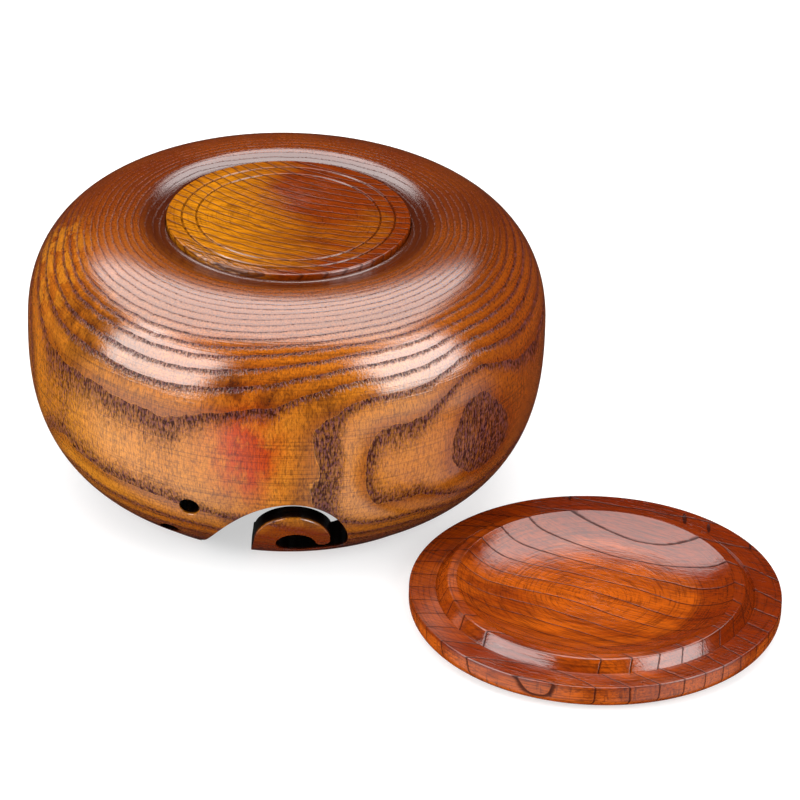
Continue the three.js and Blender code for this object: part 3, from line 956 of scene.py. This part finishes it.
def lid_wood(finish, centre):
    """Side-grain wood of the lid: wide-spaced dark lines that lean through its thickness."""
    bench = Bench("lid wood", centre)
    across = bench.plus(bench.x, LID_BEND)
    bend = bench.math("SQRT", bench.scaled(across, across, LID_BEND_SOFTNESS ** 2))
    bend = bench.times(bench.plus(across, bend), 0.5)
    lean = bench.scaled(bench.y, -0.005, 0.5)
    field = bench.scaled(bend, lean, bench.y)
    rise = bench.minus(bench.z, LID_FLANGE_FACE)
    rise = bench.times(rise, bench.rise(bench.radius, 50.0, 53.5, -1.0, -0.1))
    field = bench.plus(field, rise)
    wave = bench.sway((0.03, 0.03, 0.03), 1.5)
    field = bench.scaled(wave, 6.0, field)
    past, spacing = growth_phase(bench, field, 14.0, 7.0, 7.5)
    fibre = along_board(bench, -26, 1.7, 0.14)
    shifted = bench.plus(past, bench.scaled(fibre, 0.8, -0.4))
    line = bench.times(bench.rise(past, 0.0, 0.12), bench.rise(shifted, 0.25, 0.7, 1.0, 0.0),
    )
    cloud = along_board(bench, -16, 0.1, 0.03, (4, 2, 7))
    gold = bench.hump((-14, 0, 6), 30, (0.75, 1, 1))
    side = bench.rise(bench.z, 7.9, 6.5, 0.0, 0.9)
    gold = bench.math("MAXIMUM", gold, side)
    gold = bench.scaled(bench.hump((4, -52, 8), 22), 0.6, gold)
    gold = bench.times(gold, bench.rise(cloud, 0.3, 0.62, 0.35, 1.15), clamp=True)
    colour = bench.mix(gold, finish.lid_red, finish.lid_gold)
    colour = bench.mix(bench.rise(bench.x, -5.0, 55.0, 0.0, 0.35), colour, finish.russet)
    ring = bench.math("DIVIDE", past, spacing)
    colour = bench.mix(bench.rise(ring, 0.55, 1.0, 0.0, 0.3), colour, finish.russet)
    colour = bench.mix(bench.rise(fibre, 0.38, 0.72, 0.0, 0.55), colour, finish.pore)
    marks = bench.turning_marks(1.6, 2.0)
    colour = bench.mix(bench.rise(marks, 0.46, 0.68, 0.0, 0.55), colour, finish.umber)
    ticks = bench.rise(bench.noise((0.9, 0.9, 0.12), 2.0, 0.6, (1, 4, 2)), 0.56, 0.7, 0.0, 0.5)
    ticks = bench.times(ticks, bench.rise(bench.radius, 50.0, 53.5))
    colour = bench.mix(ticks, colour, finish.pore)
    colour = bench.mix(bench.times(line, 0.88), colour, finish.pore)
    height = bench.scaled(line, -0.03, bench.times(marks, 0.05))
    height = bench.scaled(fibre, 0.04, height)
    for place, size in CRACKS:
        crack = bench.hump(place, size, (5, 1, 0.5))
        colour = bench.mix(bench.rise(crack, 0.3, 0.6, 0.0, 0.9), colour, finish.pore)
        height = bench.scaled(crack, -0.15, height)
    coat = bench.scaled(line, -0.5, finish.coat * 0.64)
    return bench.finish(colour, finish.wood_roughness, height, coat, finish)


# ---- Operators -----------------------------------------------------------------------------

class MakeBowlBody(bpy.types.Operator):
    """Turn the bowl's body, saw the yarn slot and drill the two holes"""

    bl_idname = "turned_bowl.body"
    bl_label = "Bowl Body"
    bl_options = {"REGISTER", "UNDO"}

    def execute(self, context):
        scene = context.scene
        sizes = scene.bowl_sizes
        slot = scene.slot_sizes
        centre = centre_of("bowl_body")
        shape = BowlShape(sizes)
        mesh = spun(shape.profile(), centre, sizes.turns, closed=True)
        piece = to_object(mesh, "turned_bowl_body")
        cutters = [
            routed_cutter(slot_outline(slot), shape, centre, slot.edge_round, SLOT_CUTTER_END),
        ]
        for x, z in (
            (slot.upper_drill_x, slot.upper_drill_z),
            (slot.lower_drill_x, slot.lower_drill_z),
        ):
            outline = drilled_outline(x, z, slot.drill_radius)
            cutters.append(routed_cutter(outline, shape, centre, sizes.arris, DRILL_END))
        cut(piece, cutters)
        material = body_wood(scene.wood_finish, sizes, centre)
        finish_piece(piece, "bowl_body", "bowl", material)
        return {"FINISHED"}


class MakeBaseDisc(bpy.types.Operator):
    """Turn the disc that is let into the bowl's foot"""

    bl_idname = "turned_bowl.disc"
    bl_label = "Base Disc"
    bl_options = {"REGISTER", "UNDO"}

    def execute(self, context):
        scene = context.scene
        bowl = scene.bowl_sizes
        sizes = scene.disc_sizes
        shape = BowlShape(bowl)
        centre = centre_of("base_disc")
        top = bowl.height
        flange_z = top - bowl.disc_flange
        boss_radius = shape.plug_hole - bowl.glue_gap
        outer_line = bowl.foot_radius - sizes.outer_groove
        inner_line = bowl.foot_radius - sizes.inner_groove
        dish_edge = inner_line - sizes.groove_half_width
        dish_steps = 14
        dish = [
            (
                dish_edge * i / dish_steps,
                top - sizes.dish_depth * (1 + math.cos(math.pi * i / dish_steps)) / 2,
            )
            for i in range(dish_steps)
        ]
        profile = [
            *dish,
            *groove(inner_line, top, sizes.groove_half_width, sizes.groove_depth),
            *groove(outer_line, top, sizes.groove_half_width, sizes.groove_depth),
            *rounded_corner(
                (outer_line, top), (bowl.foot_radius, top), (bowl.foot_radius, flange_z),
                sizes.edge_round, 6,
            ),
            (bowl.foot_radius, flange_z),
            (boss_radius, flange_z),
            (boss_radius, shape.floor_z),
            (0, shape.floor_z),
        ]
        piece = to_object(spun(profile, centre, sizes.turns, closed=False), "turned_base_disc")
        material = disc_wood(scene.wood_finish, sizes, bowl.foot_radius, centre)
        finish_piece(piece, "base_disc", "bowl", material)
        return {"FINISHED"}


class MakeLid(bpy.types.Operator):
    """Turn the lid, with its spigot ring and its dish"""

    bl_idname = "turned_bowl.lid"
    bl_label = "Lid"
    bl_options = {"REGISTER", "UNDO"}

    def execute(self, context):
        scene = context.scene
        bowl = scene.bowl_sizes
        sizes = scene.lid_sizes
        centre = centre_of("lid")
        radius = bowl.bore_radius + bowl.rim_width
        spigot = bowl.bore_radius - sizes.spigot_clearance
        flange = sizes.thickness
        crest = flange + sizes.spigot_height
        crest_outer = spigot - sizes.spigot_bevel
        crest_inner = crest_outer - sizes.crest_width
        dish_steps = 30
        dish = []
        for i in range(dish_steps + 1):
            share = math.cos(math.pi / 2 * i / dish_steps)
            drop = sizes.dish_depth * (1 - share ** sizes.dish_fullness)
            dish.append((crest_inner * share if i < dish_steps else 0, crest - drop))
        quirk_radius = spigot + sizes.quirk_width / 2
        bevel_top = (crest_outer, crest)
        bevel_foot = (spigot, flange)
        profile = [
            (0, 0),
            (sizes.flat_radius, 0),
            *ease((sizes.flat_radius, 0), (radius - sizes.edge_round, sizes.crown), 8)[1:],
            *arc(
                (radius - sizes.edge_round, sizes.crown + sizes.edge_round), sizes.edge_round,
                -math.pi / 2, 0, 10,
            )[1:],
            *rounded_corner((radius, 0), (radius, flange), (spigot, flange), sizes.arris),
            *groove(quirk_radius, flange, sizes.quirk_width / 2, sizes.quirk_depth)[::-1],
            *rounded_corner(bevel_foot, bevel_top, (crest_inner, crest), 0.8 * MM, 6),
            *rounded_corner(bevel_top, (crest_inner, crest), dish[3], 0.7 * MM, 5),
            *dish[3:],
        ]
        piece = to_object(spun(profile, centre, sizes.turns, closed=False), "turned_lid")
        material = lid_wood(scene.wood_finish, centre)
        finish_piece(piece, "lid", "lid", material)
        return {"FINISHED"}


# Name, place, direction it faces, width and height in metres, and power in watts.
SOFTBOXES = (
    ("ceiling_box", (-0.26, 0.60, 1.33), (0.0, 0.0, -1.0), (2.3, 1.82), 46),
    ("left_box", (-1.21, -0.70, 0.76), (0.82, 0.47, -0.32), (1.35, 1.4), 30),
    ("right_box", (1.24, -0.66, 0.80), (-0.83, 0.40, -0.32), (1.16, 1.45), 31),
)

ROOM_LIGHT = 0.02
FLOOR_GLOW = 0.85               # strength of the light that seems to come off the floor,
FLOOR_GLOWS = ((-0.70, -0.44, -0.57), (0.70, -0.44, -0.57))     # from these directions,
GLOW_EDGE, GLOW_FULL = 0.7, 0.98                                # as cosines from them
PAPER_GREY = 0.5
PAPER_GLOW = 0.55               # the floor gives off a little light of its own
SENSOR_WIDTH = 36
FAR_CLIP = 50


def soft_box(name, place, facing, size, power):
    """A rectangular studio light."""
    light = bpy.data.lights.new(name, "AREA")
    light.shape = "RECTANGLE"
    light.size, light.size_y = size
    light.energy = power
    lamp = bpy.data.objects.new(name, light)
    lamp.location = place
    lamp.rotation_euler = facing.to_track_quat("-Z", "Y").to_euler()
    bpy.context.scene.collection.objects.link(lamp)


def studio_glow(tree):
    """A dim room with the lit floor's glow low down on both sides of the front."""
    direction = tree.nodes.new("ShaderNodeTexCoord").outputs["Generated"]
    strength = ROOM_LIGHT
    for towards in FLOOR_GLOWS:
        near = tree.nodes.new("ShaderNodeVectorMath")
        near.operation = "DOT_PRODUCT"
        tree.links.new(direction, near.inputs[0])
        near.inputs[1].default_value = Vector(towards).normalized()
        spread = tree.nodes.new("ShaderNodeMapRange")
        spread.interpolation_type = "SMOOTHSTEP"
        tree.links.new(near.outputs["Value"], spread.inputs["Value"])
        spread.inputs["From Min"].default_value = GLOW_EDGE
        spread.inputs["From Max"].default_value = GLOW_FULL
        spread.inputs["To Max"].default_value = FLOOR_GLOW
        total = tree.nodes.new("ShaderNodeMath")
        tree.links.new(spread.outputs[0], total.inputs[0])
        if isinstance(strength, float):
            total.inputs[1].default_value = strength
        else:
            tree.links.new(strength, total.inputs[1])
        strength = total.outputs[0]
    tree.links.new(strength, tree.nodes["Background"].inputs["Strength"])
    tree.nodes["Background"].inputs["Color"].default_value = (1, 1, 1, 1)


def set_camera(scene, stage):
    """The camera looks towards the back and down, turned a little about its view."""
    pitch = stage.camera_pitch
    roll = stage.camera_roll
    right = Vector((1, 0, 0))
    forward = Vector((0, math.cos(pitch), -math.sin(pitch)))
    down = Vector((0, -math.sin(pitch), -math.cos(pitch)))
    image_right = right * math.cos(roll) - down * math.sin(roll)
    image_down = right * math.sin(roll) + down * math.cos(roll)
    camera = bpy.data.objects.new("camera", bpy.data.cameras.new("camera"))
    camera.data.lens = stage.focal_length
    camera.data.sensor_width = SENSOR_WIDTH
    camera.data.clip_end = FAR_CLIP
    turn = Matrix((image_right, -image_down, -forward)).transposed().to_4x4()
    camera.matrix_world = Matrix.Translation(stage.camera_place) @ turn
    scene.collection.objects.link(camera)
    scene.camera = camera


def white_floor(side):
    """A plain pale floor, which the lacquer doesn't mirror."""
    mesh = bmesh.new()
    bmesh.ops.create_grid(mesh, x_segments=1, y_segments=1, size=side / 2)
    floor = to_object(mesh, "floor")
    paper = bpy.data.materials.new("white paper")
    paper.use_nodes = True
    shader = paper.node_tree.nodes["Principled BSDF"].inputs
    shader["Base Color"].default_value = (PAPER_GREY, PAPER_GREY, PAPER_GREY, 1)
    shader["Roughness"].default_value = 0.9
    shader["Emission Color"].default_value = (1, 1, 1, 1)
    shader["Emission Strength"].default_value = PAPER_GLOW
    floor.data.materials.append(paper)
    floor.visible_glossy = False


class SetStage(bpy.types.Operator):
    """Set the camera, the studio lights and the pale floor"""

    bl_idname = "turned_bowl.stage"
    bl_label = "Stage"
    bl_options = {"REGISTER", "UNDO"}

    def execute(self, context):
        scene = context.scene
        stage = scene.stage_settings
        set_camera(scene, stage)
        white_floor(stage.floor_side)
        for name, place, facing, size, power in SOFTBOXES:
            soft_box(name, Vector(place), Vector(facing), size, power)

        world = bpy.data.worlds.new("studio")
        world.use_nodes = True
        studio_glow(world.node_tree)
        scene.world = world
        scene.view_settings.view_transform = "Standard"
        return {"FINISHED"}


class TURNEDBOWL_PT_panel(bpy.types.Panel):
    """Lists the pieces and their sizes"""

    bl_idname = "TURNEDBOWL_PT_panel"
    bl_label = "Turned Bowl"
    bl_space_type = "VIEW_3D"
    bl_region_type = "UI"
    bl_category = "Turned Bowl"

    def draw(self, context):
        layout = self.layout
        for operator in OPERATORS:
            layout.operator(operator.bl_idname)
        for name in GROUPS:
            group = getattr(context.scene, name)
            box = layout.box()
            for prop in group.bl_rna.properties:
                if prop.identifier not in {"rna_type", "name"}:
                    box.prop(group, prop.identifier)


GROUPS = {
    "bowl_sizes": BowlSizes,
    "slot_sizes": SlotSizes,
    "disc_sizes": DiscSizes,
    "lid_sizes": LidSizes,
    "wood_finish": WoodFinish,
    "stage_settings": StageSettings,
}
OPERATORS = (MakeBowlBody, MakeBaseDisc, MakeLid, SetStage)


def register():
    for group in GROUPS.values():
        bpy.utils.register_class(group)
    for operator in OPERATORS:
        bpy.utils.register_class(operator)
    bpy.utils.register_class(TURNEDBOWL_PT_panel)
    for name, group in GROUPS.items():
        setattr(bpy.types.Scene, name, PointerProperty(type=group))


def unregister():
    for name in GROUPS:
        delattr(bpy.types.Scene, name)
    bpy.utils.unregister_class(TURNEDBOWL_PT_panel)
    for operator in reversed(OPERATORS):
        bpy.utils.unregister_class(operator)
    for group in reversed(list(GROUPS.values())):
        bpy.utils.unregister_class(group)


def main():
    register()
    bpy.ops.turned_bowl.stage()
    bpy.ops.turned_bowl.body()
    bpy.ops.turned_bowl.disc()
    bpy.ops.turned_bowl.lid()


if __name__ == "__main__":
    main()
